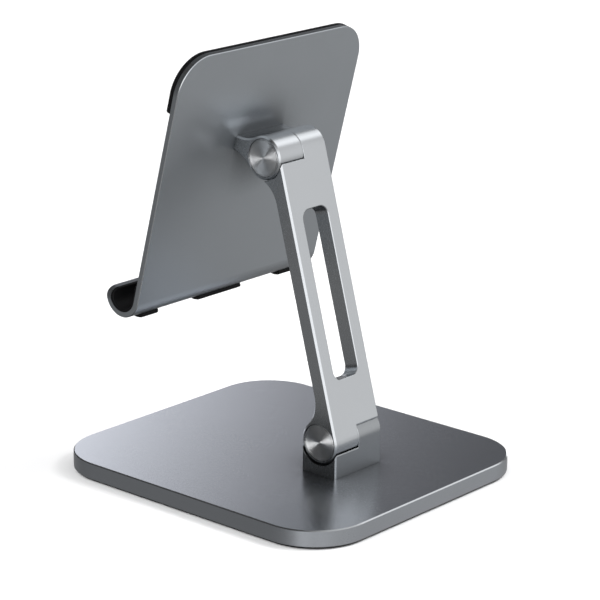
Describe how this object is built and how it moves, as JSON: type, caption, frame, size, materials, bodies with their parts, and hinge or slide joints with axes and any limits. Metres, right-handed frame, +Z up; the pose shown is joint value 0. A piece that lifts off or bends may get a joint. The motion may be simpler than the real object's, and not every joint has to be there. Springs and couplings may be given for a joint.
{
  "type": "tablet stand",
  "caption": "Desk stand for a tablet: weighted flat base, leaning slotted arm and a hooked cradle plate, with a friction hinge at each end of the arm.",
  "frame": {"origin": "on the table, under the centre of the base", "axes": "+X is the user's right, -Y is the user's side (the cradle's face), +Z is up"},
  "size_m": [0.15, 0.1644, 0.2001],
  "materials": {
    "space_grey": "bead-blasted and anodised, satin",
    "machined_grey": "fine brushed and anodised",
    "cap_metal": "turned, concentric lines",
    "silicone": "matt black silicone",
    "ballast_steel": "blackened steel",
    "zinc_screws": "blackened steel",
    "bolt_steel": "plain steel",
    "spring_steel": "oiled spring steel",
    "washer_plastic": "self-lubricating polymer"
  },
  "bodies": {
    "base": {"base_plate": "space_grey", "ballast_plate": "ballast_steel", "ballast_screws": "zinc_screws", "foot_mat": "silicone", "base_block": "machined_grey", "block_screws": "zinc_screws", "lower_hinge_bolt": "bolt_steel", "lower_friction_washer": "washer_plastic", "lower_disc_springs": "spring_steel", "lower_lock_nut": "bolt_steel", "lower_left_cap": "cap_metal"},
    "arm": {"arm": "machined_grey", "lower_thrust_washer": "bolt_steel", "lower_right_cap": "cap_metal", "upper_hinge_bolt": "bolt_steel", "upper_friction_washer": "washer_plastic", "upper_disc_springs": "spring_steel", "upper_lock_nut": "bolt_steel", "upper_left_cap": "cap_metal"},
    "cradle": {"cradle_plate": "space_grey", "bracket": "machined_grey", "bracket_screws": "zinc_screws", "front_grip": "silicone", "hook_liner": "silicone", "upper_thrust_washer": "bolt_steel", "upper_right_cap": "cap_metal"}
  },
  "joints": [
    {"name": "arm_tilt", "type": "hinge", "parent": "base", "child": "arm", "pos_m": [0, 0.0305, 0.02377], "axis": [1, 0, 0], "range_deg": [-55, 39]},
    {"name": "cradle_tilt", "type": "hinge", "parent": "arm", "child": "cradle", "pos_m": [0, -0.00415, 0.14907], "axis": [1, 0, 0], "range_deg": [-130, 40]}
  ]
}
